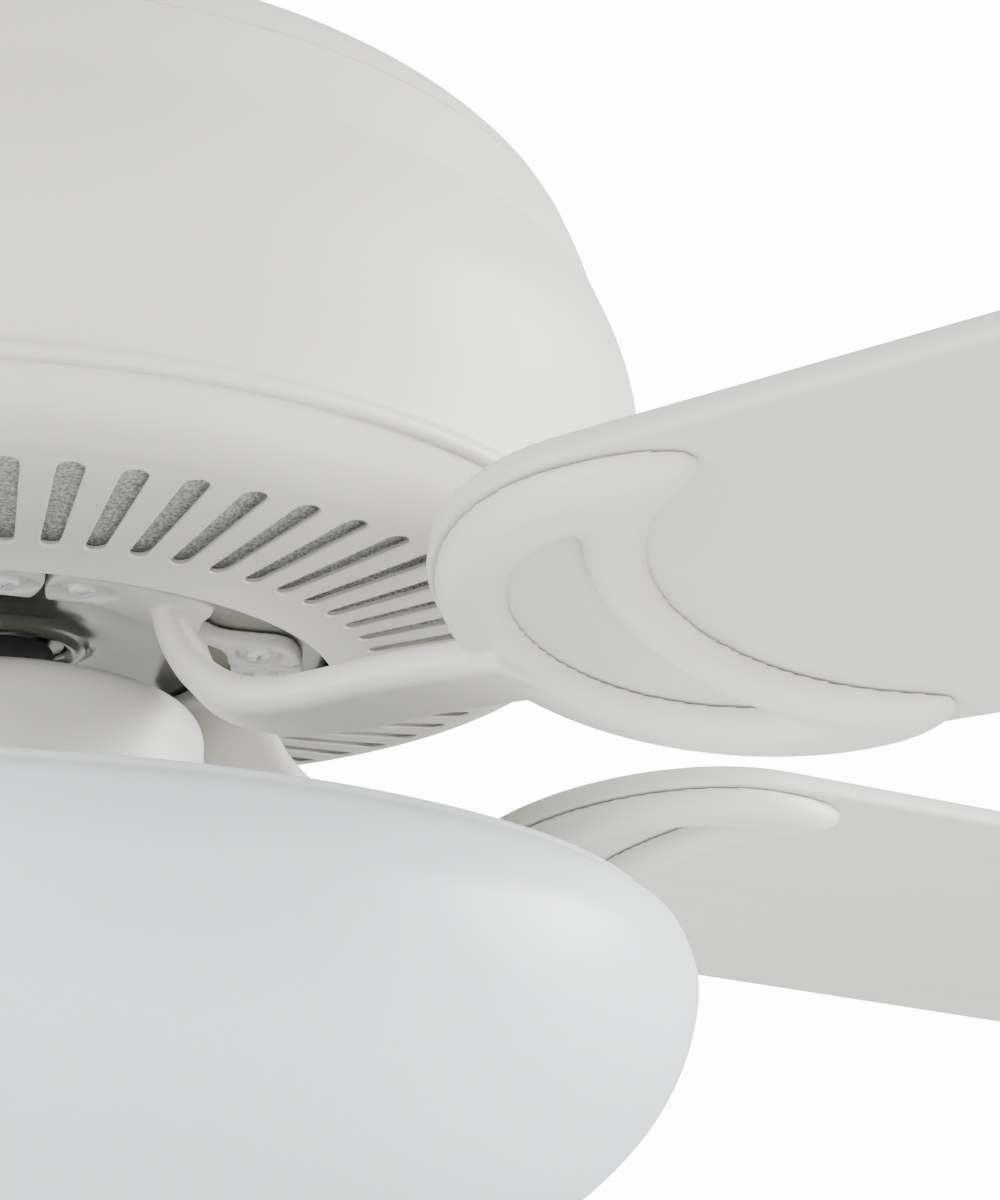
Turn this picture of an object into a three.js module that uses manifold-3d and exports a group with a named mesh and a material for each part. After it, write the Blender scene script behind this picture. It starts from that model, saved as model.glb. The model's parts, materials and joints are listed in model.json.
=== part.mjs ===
// A 52 inch five-blade ceiling fan with a bowl light, on a short downrod.
// Millimetres, +Z up. The origin is on the ceiling, at the centre of the hanger bracket's top face.
import * as THREE from "three";
import { mergeVertices } from "three/addons/utils/BufferGeometryUtils.js";
import Module from "manifold-3d";

const wasm = await Module();
wasm.setup();

// ---- Driving dimensions -------------------------------------------------------------------

const GAP = 0.3; // between pieces that touch
const FINE = 32; // sides of the large turned pieces
const ROUND = 24; // sides of the middling ones
const SMALL = 12; // sides of rods and fasteners

const BLADE_COUNT = 5;
const FIRST_BLADE_DEG = -46.9; // azimuth of blade 1 at rest
const BLADE_PITCH_DEG = 12;

// Suspension, measured down from the ceiling.
const BRACKET = {
  sheet: 2.5,
  halfLength: 69,
  halfWidth: 19,
  legX: 38, // straps that carry the seat
  legHalf: 15,
  earDepth: 16, // tabs that take the canopy screws
  earHalf: 9,
  slotY: 44, // slots for the ceiling box's screws
  slotReach: 12,
  slotHalf: 3,
  wireHole: 6.5,
  wireY: 22,
  tapRadius: 2.4,
};
const BALL = { radius: 30, centreZ: -36, topZ: -26, bottomZ: -58 };
const SEAT = { outer: 40, topZ: -44, bottomZ: -52, clearRadius: 30.9, entryClearance: 1.5 };
const CANOPY = { radius: 75, topZ: -1.5, bottomZ: -70, holeRadius: 23, sheet: 1.5, screwHole: 2.6 };
const CANOPY_PROFILE = [
  [CANOPY.holeRadius, CANOPY.bottomZ],
  [38, -68],
  [56, -57],
  [69, -35],
  [74, -15],
  [CANOPY.radius, CANOPY.topZ],
];
const CANOPY_SCREW = { z: -10, radius: 2, headRadius: 4.2, headHeight: 2.6, reach: 5 };
const DOWNROD = { outer: 13, bore: 10, topZ: -27 };
const PIN_RADIUS = 3;
const BALL_PIN_REACH = 26;

// Everything below the downrod is measured from the vent face's inner slot ends.
const VENT_Z = -320;
const HOUSING_SHEET = 2;
const OPENING_RADIUS = 79.3;
const HOUSING_TOP = 141;
const LOWER_HOUSING_PROFILE = [
  [OPENING_RADIUS, -2.8],
  [89.6, 0],
  [124.6, 4.8],
  [132, 6.4],
  [144.7, 18.4],
  [146.8, 19.8],
  [151.6, 40],
  [152.7, 55],
  [150.2, 70],
  [145.2, 82],
];
const UPPER_HOUSING_PROFILE = [
  [145, 82.4],
  [138.5, 101.5],
  [124, 119],
  [96, 132],
  [56, 139.2],
  [17, HOUSING_TOP],
];
const VENT_SLOTS = { count: 60, inner: 88.9, outer: 125.4, innerWidth: 4.1, outerWidth: 5.6, phaseDeg: -91 };
const LINER_PROFILE = [
  [84, 2.2],
  [128, 8.2],
  [128, 9.2],
  [84, 3.2],
];

const SHAFT = { radius: 9, bore: 6, bottomZ: -22, topZ: 158 };
const YOKE = {
  radius: 20,
  flange: 34,
  flangeThick: 4,
  bottomZ: HOUSING_TOP + 0.4,
  topZ: 186,
  rodZ: 160, // where the downrod rests
  pinZ: 174,
};
const YOKE_PIN = { tipX: -24, shoulderX: 22, headX: 24.5, headRadius: 5 };
const YOKE_COVER_SHEET = 1.4;
const YOKE_COVER_PROFILE = [
  [45, 141.4],
  [43.5, 155.4],
  [37, 172.4],
  [26, 188.4],
  [DOWNROD.outer + 1.6, 198.4],
];
const ROTOR = { face: 1.3, plateRadius: 78, radius: 92, rim: 4, splitZ: 27, topZ: 70, screwHole: 2.9 };
const BEARING = { outer: 14, height: 8, lowerZ: 5.5, upperZ: 61 };
const STATOR = { radius: 80, bottomZ: 26, topZ: 40 };
const WINDING = { outer: 70, inner: 36, bottomZ: 17, topZ: 50 };

const IRON = {
  outer: 75.8,
  inner: 59.5,
  spanDeg: 35.4, // each side of the arm
  tabOuter: 69.8,
  tabInner: 52,
  tabDeg: 10,
  bottomZ: -3,
  topZ: ROTOR.face - GAP,
  screwRadius: 66.5,
  screwDeg: 28.8,
  screwHole: 3.1,
  recessRadius: 6,
  recessDepth: 1.6,
  armWidth: 27,
  armThick: 8.4,
  armPath: [
    [66, -1],
    [68.5, -9],
    [75, -17.6],
    [86, -24.2],
    [101, -26.2],
    [125, -26.2],
    [153, -27],
  ],
  armStations: [0, 0.1, 0.2, 0.3, 0.42, 0.6, 1],
  headThick: 6.2,
  softEdge: 2,
};
// The crescent is a disc less another, with its horns rounded off; its window is cut the same way.
const CRESCENT = {
  disc: { x: 202, radius: 58 },
  bite: { x: 242, radius: 50 },
  horn: { x: 220.6, y: 50.1, radius: 4.5 },
  hornDeg: 69.6, // where the disc's edge meets a horn
  biteDeg: 113.1, // where the bite's edge does
  windowDisc: { x: 198, radius: 40.5 },
  windowBite: { x: 250.5, radius: 70 },
};
const IRON_SCREW = { radius: 2.5, headRadius: 4.3, crownRadius: 3, headHeight: 2.3, topZ: 5 };
const BLADE = {
  planeZ: -24.2,
  thick: 5.3,
  softEdge: 1,
  rootX: 202,
  rootRadius: 60,
  taperX: 226,
  tip: 660,
  tipHalf: 70,
  corner: 34,
};

const CUP = { radius: 48.4, topZ: -10, bottomZ: -52, shoulder: 9, sheet: 1.6 };
const SWITCH_PLATE = { radius: 38, thick: 2.2, collar: 16 };
const CAPACITOR = { halfWidth: 18, nearY: -40, farY: -24, bottomZ: -42, topZ: -17 };
const SWITCH = { halfWidth: 7, nearY: 34, farY: 44.4, bottomZ: -43.6, topZ: -24 };
const SWITCH_SLOT = { halfWidth: 2.6, bottomZ: -43, topZ: -28 };
const SLIDER = { halfWidth: 2, nearY: 44.8, farY: 51.4, bottomZ: -34, topZ: -29 };
const SLIDER_KNOB = { halfWidth: 3.4, nearY: 49.4, farY: 52.2, bottomZ: -35, topZ: -28 };
const FITTER = {
  flange: 50,
  flangeZ: -56,
  pan: 26,
  bottomZ: -80,
  sheet: 2,
  skirtTopZ: -44,
  skirtSheet: 1.8,
  lampHole: 5.6,
};
const FITTER_SCREW = {
  count: 3,
  firstDeg: -30,
  z: -48,
  radius: 1.9,
  hole: 2.3,
  tipR: 42,
  headRadius: 3.6,
  headHeight: 2.4,
};
const LAMP = { count: 3, firstDeg: -90, tiltDeg: 20, startR: 29, startZ: -72 };
const SOCKET = { radius: 16, bore: 13.5, length: 34, floor: 5, stemRadius: 5, stemLength: 8 };
const BULB = { base: 8, neck: 13, bulge: 22, startZ: 6, neckTopZ: 35, bulgeZ: 62, topZ: 84 };
const BOWL_GLASS = 4;
const BOWL_PROFILE = [
  [7, -157],
  [50, -154.2],
  [96, -145],
  [132, -129],
  [155, -107],
  [164.2, -81],
  [161.2, -68],
  [155, -61],
];
const BOWL_BOTTOM = BOWL_PROFILE[0][1];
const BOWL_ROD = { radius: 4.8, topZ: -66, bottomZ: -170 };
const WASHER = { radius: 14, thick: 3 };
// Its threaded hole is open at the top, so the profile runs from the nose round to the hole's floor.
const FINIAL_PROFILE = [
  [0, -182],
  [8.5, -179],
  [11.5, -172],
  [9.5, -166],
  [13.5, -163],
  [13, -160.4],
  [BOWL_ROD.radius + GAP, -160.4],
  [BOWL_ROD.radius + GAP, -171],
  [0, -171],
];

// ---- Helpers --------------------------------------------------------------------------------

const rad = THREE.MathUtils.degToRad;

function toSolid(geometry) {
  const bare = geometry.clone();
  bare.deleteAttribute("normal");
  bare.deleteAttribute("uv");
  const merged = mergeVertices(bare, 1e-3);
  return new wasm.Manifold(
    new wasm.Mesh({
      numProp: 3,
      vertProperties: new Float32Array(merged.attributes.position.array),
      triVerts: new Uint32Array(merged.index.array),
    }),
  );
}

function toGeometry(solid) {
  const mesh = solid.getMesh();
  const geometry = new THREE.BufferGeometry();
  geometry.setAttribute("position", new THREE.BufferAttribute(new Float32Array(mesh.vertProperties), 3));
  geometry.setIndex(new THREE.BufferAttribute(new Uint32Array(mesh.triVerts), 1));
  geometry.computeVertexNormals();
  return geometry;
}

function combine(base, added = [], cut = []) {
  let solid = toSolid(base);
  for (const piece of added) solid = solid.add(toSolid(piece));
  for (const piece of cut) solid = solid.subtract(toSolid(piece));
  return toGeometry(solid);
}

// A turned solid about Z from [radius, z] points, which end on the axis or close on themselves.
function turned(points, sides = ROUND) {
  const onAxis = points[0][0] === 0 && points.at(-1)[0] === 0;
  const closed = onAxis ? points : [...points, points[0]];
  const area = closed.reduce((sum, [r, z], i) => {
    const [nextR, nextZ] = closed[(i + 1) % closed.length];
    return sum + r * nextZ - nextR * z;
  }, 0);
  const ordered = area > 0 ? closed : [...closed].reverse();
  const outline = ordered.map(([r, z]) => new THREE.Vector2(r, z));
  return new THREE.LatheGeometry(outline, sides).rotateX(Math.PI / 2);
}

const tube = (outer, inner, z0, z1, sides = ROUND) =>
  turned([[inner, z0], [outer, z0], [outer, z1], [inner, z1]], sides);

const rod = (radius, z0, z1, sides = SMALL) =>
  turned([[0, z0], [radius, z0], [radius, z1], [0, z1]], sides);

function box(x0, x1, y0, y1, z0, z1) {
  const block = new THREE.BoxGeometry(Math.abs(x1 - x0), Math.abs(y1 - y0), z1 - z0);
  return block.translate((x0 + x1) / 2, (y0 + y1) / 2, (z0 + z1) / 2);
}

// A sheet-metal shell: the outer profile from its opening to its end, and the same moved inwards.
function shell(outer, sheet, sides) {
  const inner = outer.map((point, i) => {
    const before = outer[Math.max(i - 1, 0)];
    const after = outer[Math.min(i + 1, outer.length - 1)];
    const along = new THREE.Vector2(after[0] - before[0], after[1] - before[1]).normalize();
    return [point[0] - along.y * sheet, point[1] + along.x * sheet];
  });
  return turned([...outer, ...inner.reverse()], sides);
}

// Points of an arc in a profile or an outline.
function arc(x, y, radius, fromDeg, toDeg, steps) {
  return Array.from({ length: steps + 1 }, (_, i) => {
    const angle = rad(fromDeg + ((toDeg - fromDeg) * i) / steps);
    return [x + radius * Math.cos(angle), y + radius * Math.sin(angle)];
  });
}

const shapeOf = (points) => new THREE.Shape(points.map(([x, y]) => new THREE.Vector2(x, y)));

// An outline in XY with soft edges, from z0 up to z1.
function soft(shape, z0, z1, edge, steps = 2) {
  const depth = z1 - z0 - 2 * edge;
  return new THREE.ExtrudeGeometry(shape, {
    depth,
    curveSegments: 6,
    bevelEnabled: edge > 0,
    bevelThickness: edge,
    bevelSize: edge,
    bevelOffset: -edge,
    bevelSegments: steps,
  }).translate(0, 0, z0 + edge);
}

function slab(shape, z0, z1) {
  const block = new THREE.ExtrudeGeometry(shape, { depth: z1 - z0, bevelEnabled: false });
  return block.translate(0, 0, z0);
}

// A box that is the same on both sides of X = 0, from a { halfWidth, nearY, farY, bottomZ, topZ }.
const block = ({ halfWidth, nearY, farY, bottomZ, topZ }) =>
  box(-halfWidth, halfWidth, nearY, farY, bottomZ, topZ);

// Copies of a piece are turned to these angles, evenly round the axis.
const turnsOf = ({ count, firstDeg }) =>
  Array.from({ length: count }, (_, i) => rad(firstDeg + (i * 360) / count));

const finish = (color, roughness, metalness = 0) =>
  new THREE.MeshStandardMaterial({ color, roughness, metalness });

const WHITE_PAINT = finish("#dedcd8", 0.42);
const WHITE_BLADE = finish("#d6d4cf", 0.5);
const BARE_STEEL = finish("#9a9a97", 0.35, 1);
const ZINC_MESH = finish("#91908c", 0.6, 0.6);
const CAST_ALUMINIUM = finish("#8b8c80", 0.25, 1);
const LAMINATIONS = finish("#4c4d50", 0.55, 0.8);
const COPPER = finish("#a5632f", 0.4, 0.9);
const BLACK = finish("#17171a", 0.5);
const PORCELAIN = finish("#e9e6df", 0.3);
const OPAL = finish("#dfe3e6", 0.25);
const RUBBER = finish("#3a3a3a", 0.8);

function add(group, name, geometry, material) {
  const mesh = new THREE.Mesh(geometry, material.clone());
  mesh.name = name;
  group.add(mesh);
  return mesh;
}

// ---- Ceiling bracket, canopy and their screws ------------------------------------------------

function bracketGeometry() {
  const { sheet, halfLength, halfWidth, legX, legHalf, earDepth, earHalf } = BRACKET;
  const { slotY, slotReach, slotHalf, wireHole, wireY, tapRadius } = BRACKET;
  const { outer, topZ, bottomZ, clearRadius, entryClearance } = SEAT;
  const top = box(-halfWidth, halfWidth, -halfLength, halfLength, -sheet, 0);
  const bridge = box(-legX - sheet, legX + sheet, -legHalf, legHalf, -sheet, 0);
  const leg = (side) => box(side * legX, side * (legX + sheet), -legHalf, legHalf, bottomZ, 0);
  const ear = (side) =>
    box(-earHalf, earHalf, side * (halfLength - sheet), side * halfLength, -earDepth, 0);

  const socket = new THREE.SphereGeometry(clearRadius, ROUND, 20).rotateX(Math.PI / 2);
  socket.translate(0, 0, BALL.centreZ);
  const entryHalf = DOWNROD.outer + entryClearance;
  const entry = box(-entryHalf, entryHalf, -outer - 1, 0, bottomZ - 1, 0.5 - sheet);
  const seat = combine(rod(outer, bottomZ, topZ, ROUND), [], [socket, entry]);

  const slot = (side) =>
    box(-slotHalf, slotHalf, side * slotY - slotReach, side * slotY + slotReach, -sheet - 1, 1);
  const screwHole = rod(tapRadius, -halfLength - 1, halfLength + 1).rotateX(Math.PI / 2);
  screwHole.translate(0, 0, CANOPY_SCREW.z);
  const wires = rod(wireHole, -sheet - 1, 1).translate(0, wireY, 0);
  const sides = [-1, 1];
  return combine(
    top,
    [bridge, ...sides.map(leg), ...sides.map(ear), seat],
    [...sides.map(slot), wires, screwHole],
  );
}

function canopyGeometry() {
  const { radius, sheet, screwHole } = CANOPY;
  const hole = rod(screwHole, -radius - 2, radius + 2).rotateX(Math.PI / 2);
  return combine(shell(CANOPY_PROFILE, sheet, 24), [], [hole.translate(0, 0, CANOPY_SCREW.z)]);
}

function canopyScrewGeometry() {
  const { radius, headRadius, headHeight, reach } = CANOPY_SCREW;
  const tip = BRACKET.halfLength - reach;
  const head = CANOPY.radius + GAP;
  const profile = [
    [0, tip],
    [radius, tip],
    [radius, head],
    [headRadius, head],
    [headRadius, head + headHeight / 2],
    [headRadius - 1.6, head + headHeight],
    [0, head + headHeight],
  ];
  return turned(profile, SMALL);
}

// ---- Ball, cross pin, downrod ------------------------------------------------------------------

function ballGeometry() {
  const side = (z) => Math.asin((z - BALL.centreZ) / BALL.radius) * THREE.MathUtils.RAD2DEG;
  const curve = arc(0, BALL.centreZ, BALL.radius, side(BALL.bottomZ), side(BALL.topZ), 6);
  const bore = DOWNROD.outer + GAP;
  const body = turned([[bore, BALL.bottomZ], ...curve, [bore, BALL.topZ]]);
  return combine(body, [], [crossHole(BALL.radius + 1)]);
}

// The pin's hole, along Y through the ball's centre.
function crossHole(reach) {
  return rod(PIN_RADIUS + GAP, -reach, reach).rotateX(Math.PI / 2).translate(0, 0, BALL.centreZ);
}

// The other pin's hole, along X through the yoke.
function yokeHole(reach, z) {
  return rod(PIN_RADIUS + GAP, -reach, reach).rotateY(Math.PI / 2).translate(0, 0, z);
}

function downrodGeometry() {
  const bottomZ = VENT_Z + YOKE.rodZ + GAP;
  const wall = tube(DOWNROD.outer, DOWNROD.bore, bottomZ, DOWNROD.topZ);
  const reach = DOWNROD.outer + 1;
  return combine(wall, [], [crossHole(reach), yokeHole(reach, VENT_Z + YOKE.pinZ)]);
}

// ---- Yoke, shaft and motor ---------------------------------------------------------------------

function yokeGeometry() {
  const { radius, flange, flangeThick, bottomZ, topZ, rodZ, pinZ } = YOKE;
  const shaftBore = SHAFT.radius + GAP;
  const rodBore = DOWNROD.outer + GAP;
  const profile = [
    [shaftBore, bottomZ],
    [flange, bottomZ],
    [flange, bottomZ + flangeThick],
    [radius, bottomZ + 2 * flangeThick],
    [radius, topZ],
    [rodBore, topZ],
    [rodBore, rodZ],
    [shaftBore, rodZ],
  ];
  return combine(turned(profile), [], [yokeHole(flange, pinZ)]);
}

function yokePinGeometry() {
  const { tipX, shoulderX, headX, headRadius } = YOKE_PIN;
  const profile = [
    [0, tipX],
    [PIN_RADIUS, tipX],
    [PIN_RADIUS, shoulderX],
    [headRadius, shoulderX],
    [headRadius, headX],
    [0, headX],
  ];
  return turned(profile, SMALL).rotateY(Math.PI / 2).translate(0, 0, YOKE.pinZ);
}

function rotorBottomGeometry() {
  const { face, plateRadius, radius, rim, splitZ, screwHole } = ROTOR;
  const seat = BEARING.outer + GAP;
  const profile = [
    [seat, 5],
    [20, 5],
    [21, face],
    [plateRadius, face],
    [plateRadius, 9],
    [radius, 13],
    [radius, splitZ],
    [radius - rim, splitZ],
    [radius - rim, 16],
    [plateRadius - 3.5, 12.5],
    [plateRadius - 3.5, 6],
    [24, 6],
    [20.5, 14],
    [seat, 14],
  ];
  const holes = screwPlaces().map(([x, y]) => rod(screwHole, 0, 8, 8).translate(x, y, 0));
  return combine(turned(profile), [], holes);
}

function rotorTopGeometry() {
  const { radius, rim, splitZ, topZ } = ROTOR;
  const seat = BEARING.outer + GAP;
  const bottomZ = splitZ + GAP + 0.1;
  return turned([
    [seat, 60.5],
    [58, 58.5],
    [radius - rim, 45],
    [radius - rim, bottomZ],
    [radius, bottomZ],
    [radius, 47],
    [60, 62],
    [20.5, 65],
    [20.5, topZ],
    [seat, topZ],
  ]);
}

// ---- Housings ------------------------------------------------------------------------------------

function lowerHousingGeometry() {
  return combine(shell(LOWER_HOUSING_PROFILE, HOUSING_SHEET, FINE), [], slotCutters());
}

function slotCutters() {
  const { count, inner, outer, innerWidth, outerWidth, phaseDeg } = VENT_SLOTS;
  const shape = shapeOf([
    [inner, -innerWidth / 2],
    [outer, -outerWidth / 2],
    [outer, outerWidth / 2],
    [inner, innerWidth / 2],
  ]);
  const turns = turnsOf({ count, firstDeg: phaseDeg });
  return turns.map((turn) => slab(shape, -6, 14).rotateZ(turn));
}

// ---- Blade irons, blades and screws ---------------------------------------------------------------

// A blade's own frame has X outwards along the blade and Y to its anticlockwise side.
const bladeTurns = turnsOf({ count: BLADE_COUNT, firstDeg: FIRST_BLADE_DEG });

function screwPlaces() {
  const { screwRadius, screwDeg } = IRON;
  const angles = bladeTurns.flatMap((turn) => [turn - rad(screwDeg), turn + rad(screwDeg)]);
  return angles.map((angle) => [screwRadius * Math.cos(angle), screwRadius * Math.sin(angle)]);
}

function ironBase() {
  const { outer, inner, spanDeg, tabOuter, tabInner, tabDeg, bottomZ, topZ } = IRON;
  const { screwRadius, screwDeg, screwHole, recessRadius, recessDepth } = IRON;
  const ring = shapeOf([
    ...arc(0, 0, outer, -spanDeg, spanDeg, 8),
    ...arc(0, 0, inner, spanDeg, -spanDeg, 6),
  ]);
  const tab = shapeOf([
    ...arc(0, 0, tabOuter, -tabDeg - 2, tabDeg + 2, 2),
    ...arc(0, 0, tabInner, tabDeg, -tabDeg, 2),
  ]);
  const hole = rod(screwHole, bottomZ - 1, topZ + 1, 8);
  const recess = rod(recessRadius, bottomZ - 1, bottomZ + recessDepth, 8);
  const cuts = [-1, 1].flatMap((side) =>
    [hole, recess].map((cut) => cut.clone().translate(screwRadius, 0, 0).rotateZ(side * rad(screwDeg))));
  return combine(slab(ring, bottomZ, topZ), [slab(tab, bottomZ, topZ)], cuts);
}

function ironArm() {
  const { armPath, armStations, armWidth, armThick, softEdge, topZ } = IRON;
  const path = new THREE.CatmullRomCurve3(armPath.map(([x, z]) => new THREE.Vector3(x, 0, z)));
  const top = [];
  const bottom = [];
  for (const t of armStations) {
    const point = path.getPointAt(t);
    const along = path.getTangentAt(t);
    top.push([point.x - (along.z * armThick) / 2, point.z + (along.x * armThick) / 2]);
    bottom.push([point.x + (along.z * armThick) / 2, point.z - (along.x * armThick) / 2]);
  }
  const side = shapeOf([...top, ...bottom.reverse()]);
  const arm = soft(side, -armWidth / 2, armWidth / 2, softEdge, 1).rotateX(Math.PI / 2);
  const aboveBase = box(40, 110, -armWidth, armWidth, topZ, topZ + 30);
  return combine(arm, [], [aboveBase]);
}

function crescentShape() {
  const { disc, bite, horn, hornDeg, biteDeg, windowDisc, windowBite } = CRESCENT;
  const hornArc = (side, from, to) => arc(horn.x, side * horn.y, horn.radius, from, to, 4).slice(1, -1);
  const shape = shapeOf([
    ...arc(disc.x, 0, disc.radius, hornDeg, 360 - hornDeg, 12),
    ...hornArc(-1, -hornDeg, 180 - biteDeg),
    ...arc(bite.x, 0, bite.radius, 360 - biteDeg, biteDeg, 7),
    ...hornArc(1, biteDeg - 180, hornDeg),
  ]);
  const window = [
    ...arc(windowDisc.x, 0, windowDisc.radius, 103, 257, 7),
    ...arc(windowBite.x, 0, windowBite.radius, 213, 147, 3),
  ];
  shape.holes.push(new THREE.Path(window.map(([x, y]) => new THREE.Vector2(x, y))));
  return shape;
}

// Lays a piece drawn in the blade's plane onto the pitched blade.
function pitched(geometry) {
  return geometry.rotateX(rad(-BLADE_PITCH_DEG)).translate(0, 0, BLADE.planeZ);
}

function ironGeometry() {
  const head = pitched(soft(crescentShape(), -IRON.headThick - GAP, -GAP, IRON.softEdge, 1));
  const bladeSpace = pitched(box(138, 300, -90, 90, -GAP, 30));
  return combine(ironBase(), [ironArm(), head], [bladeSpace]);
}

function bladeGeometry() {
  const { rootX, rootRadius, taperX, tip, tipHalf, corner, thick, softEdge } = BLADE;
  const outline = [
    ...arc(rootX, 0, rootRadius, 90, 270, 10),
    [taperX, -rootRadius],
    ...arc(tip - corner, -tipHalf + corner, corner, -90, 0, 3),
    ...arc(tip - corner, tipHalf - corner, corner, 0, 90, 3),
    [taperX, rootRadius],
  ];
  return pitched(soft(shapeOf(outline), 0, thick, softEdge, 1));
}

function ironScrewGeometry() {
  const { radius, headRadius, crownRadius, headHeight, topZ } = IRON_SCREW;
  const seat = IRON.bottomZ + IRON.recessDepth - GAP;
  const profile = [
    [0, seat - headHeight],
    [crownRadius, seat - headHeight + 0.3],
    [headRadius, seat],
    [radius, seat],
    [radius, topZ],
    [0, topZ],
  ];
  return turned(profile, 10);
}

// ---- Switch housing and light kit ------------------------------------------------------------------

function switchPlateGeometry() {
  const { radius, thick, collar } = SWITCH_PLATE;
  const bore = SHAFT.radius + GAP;
  const topZ = CUP.topZ - CUP.sheet - GAP;
  const bottomZ = SHAFT.bottomZ + 1;
  return turned([
    [bore, bottomZ],
    [collar, bottomZ],
    [collar, topZ - thick],
    [radius, topZ - thick],
    [radius, topZ],
    [bore, topZ],
  ]);
}

function cupGeometry() {
  const { radius, topZ, bottomZ, shoulder, sheet } = CUP;
  const wall = [
    [radius, bottomZ],
    ...arc(radius - shoulder, topZ - shoulder, shoulder, 0, 90, 3),
    [SHAFT.radius + 2 * GAP, topZ],
  ];
  const slot = block({ ...SWITCH_SLOT, nearY: radius - 8, farY: radius + 8 });
  return combine(shell(wall, sheet, 24), [], [slot, ...fitterScrewHoles()]);
}

function switchBodyGeometry() {
  const track = { halfWidth: 2.4, nearY: SWITCH.farY - 1.4, farY: SWITCH.farY + 1, bottomZ: -42, topZ: -28 };
  return combine(block(SWITCH), [], [block(track)]);
}

// Lays a piece turned about Z onto a fitter screw's axis, which points outwards.
const fitterScrewPlace = (geometry) => geometry.rotateY(Math.PI / 2).translate(0, 0, FITTER_SCREW.z);

const fitterScrewHoles = () =>
  turnsOf(FITTER_SCREW).map((turn) =>
    fitterScrewPlace(rod(FITTER_SCREW.hole, CUP.radius - 8, CUP.radius + 8, 8)).rotateZ(turn));

function fitterGeometry() {
  const { flange, flangeZ, pan, bottomZ, sheet, skirtTopZ, skirtSheet, lampHole } = FITTER;
  const skirt = CUP.radius - CUP.sheet - GAP - 0.1;
  const rodHole = BOWL_ROD.radius + GAP;
  const under = CUP.bottomZ - GAP;
  const profile = [
    [pan - sheet, flangeZ + 1],
    [pan - sheet, bottomZ + sheet],
    [rodHole, bottomZ + sheet],
    [rodHole, bottomZ],
    [pan, bottomZ],
    [pan, flangeZ],
    [flange, flangeZ],
    [flange, under],
    [skirt, under],
    [skirt, skirtTopZ],
    [skirt - skirtSheet, skirtTopZ],
    [skirt - skirtSheet, CUP.bottomZ - 1.4],
    [pan + 6, CUP.bottomZ - 1.4],
  ];
  const lampHoles = turnsOf(LAMP).map((turn) => lampPlace(rod(lampHole, -12, 6, 10), turn));
  return combine(turned(profile, 16), [], [...lampHoles, ...fitterScrewHoles()]);
}

function fitterScrewGeometry() {
  const { radius, tipR, headRadius, headHeight } = FITTER_SCREW;
  const head = CUP.radius + GAP;
  const profile = [
    [0, tipR],
    [radius, tipR],
    [radius, head],
    [headRadius, head],
    [headRadius - 0.4, head + headHeight - 0.7],
    [0, head + headHeight - 0.3],
  ];
  return fitterScrewPlace(turned(profile, SMALL));
}

// Lays a piece made along +Z onto a lamp's axis, which leans down by the tilt.
function lampPlace(geometry, turn) {
  const { tiltDeg, startR, startZ } = LAMP;
  return geometry.rotateY(Math.PI / 2 + rad(tiltDeg)).translate(startR, 0, startZ).rotateZ(turn);
}

function socketGeometry() {
  const { radius, bore, length, floor, stemRadius, stemLength } = SOCKET;
  const profile = [
    [0, -stemLength],
    [stemRadius, -stemLength],
    [stemRadius, 0],
    [radius, 0],
    [radius, length],
    [bore, length],
    [bore, floor],
    [0, floor],
  ];
  return turned(profile, 14);
}

function bulbGeometry() {
  const { base, neck, bulge, startZ, neckTopZ, bulgeZ, topZ } = BULB;
  const profile = [
    [0, startZ],
    [base, startZ],
    [neck, startZ + 4],
    [neck, neckTopZ],
    [bulge - 2.5, bulgeZ - bulge / 2],
    ...arc(0, bulgeZ, bulge, 0, 72, 3),
    [0, topZ],
  ];
  return turned(profile, 14);
}

const washerGeometry = () =>
  tube(WASHER.radius, BOWL_ROD.radius + GAP, BOWL_BOTTOM - WASHER.thick, BOWL_BOTTOM - GAP);

// ---- The assembly -----------------------------------------------------------------------------------

const fan = new THREE.Group();

add(fan, "hanger_bracket", bracketGeometry(), BARE_STEEL);
add(fan, "canopy", canopyGeometry(), WHITE_PAINT);
for (const [i, side] of [1, -1].entries()) {
  const screw = add(fan, `canopy_screw_${i + 1}`, canopyScrewGeometry(), WHITE_PAINT);
  screw.rotation.x = (-side * Math.PI) / 2;
  screw.position.z = CANOPY_SCREW.z;
}
const ballPin = add(fan, "ball_pin", rod(PIN_RADIUS, -BALL_PIN_REACH, BALL_PIN_REACH), BARE_STEEL);
ballPin.rotation.x = Math.PI / 2;
ballPin.position.z = BALL.centreZ;
add(fan, "hanger_ball", ballGeometry(), BLACK);
add(fan, "downrod", downrodGeometry(), WHITE_PAINT);

const body = new THREE.Group();
body.position.z = VENT_Z;
fan.add(body);
add(body, "yoke", yokeGeometry(), BARE_STEEL);
add(body, "yoke_pin", yokePinGeometry(), BARE_STEEL);
add(body, "yoke_cover", shell(YOKE_COVER_PROFILE, YOKE_COVER_SHEET, 24), WHITE_PAINT);
add(body, "upper_housing", shell(UPPER_HOUSING_PROFILE, HOUSING_SHEET, FINE), WHITE_PAINT);
add(body, "lower_housing", lowerHousingGeometry(), WHITE_PAINT);
add(body, "vent_liner", turned(LINER_PROFILE, FINE), ZINC_MESH);

const bearingBore = SHAFT.radius + GAP;
add(body, "motor_shaft", tube(SHAFT.radius, SHAFT.bore, SHAFT.bottomZ, SHAFT.topZ), BARE_STEEL);
add(body, "stator_core", tube(STATOR.radius, bearingBore, STATOR.bottomZ, STATOR.topZ), LAMINATIONS);
for (const [name, z0, z1] of [
  ["winding_lower", WINDING.bottomZ, STATOR.bottomZ - GAP],
  ["winding_upper", STATOR.topZ + GAP, WINDING.topZ],
])
  add(body, name, tube(WINDING.outer, WINDING.inner, z0, z1), COPPER);

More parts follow.
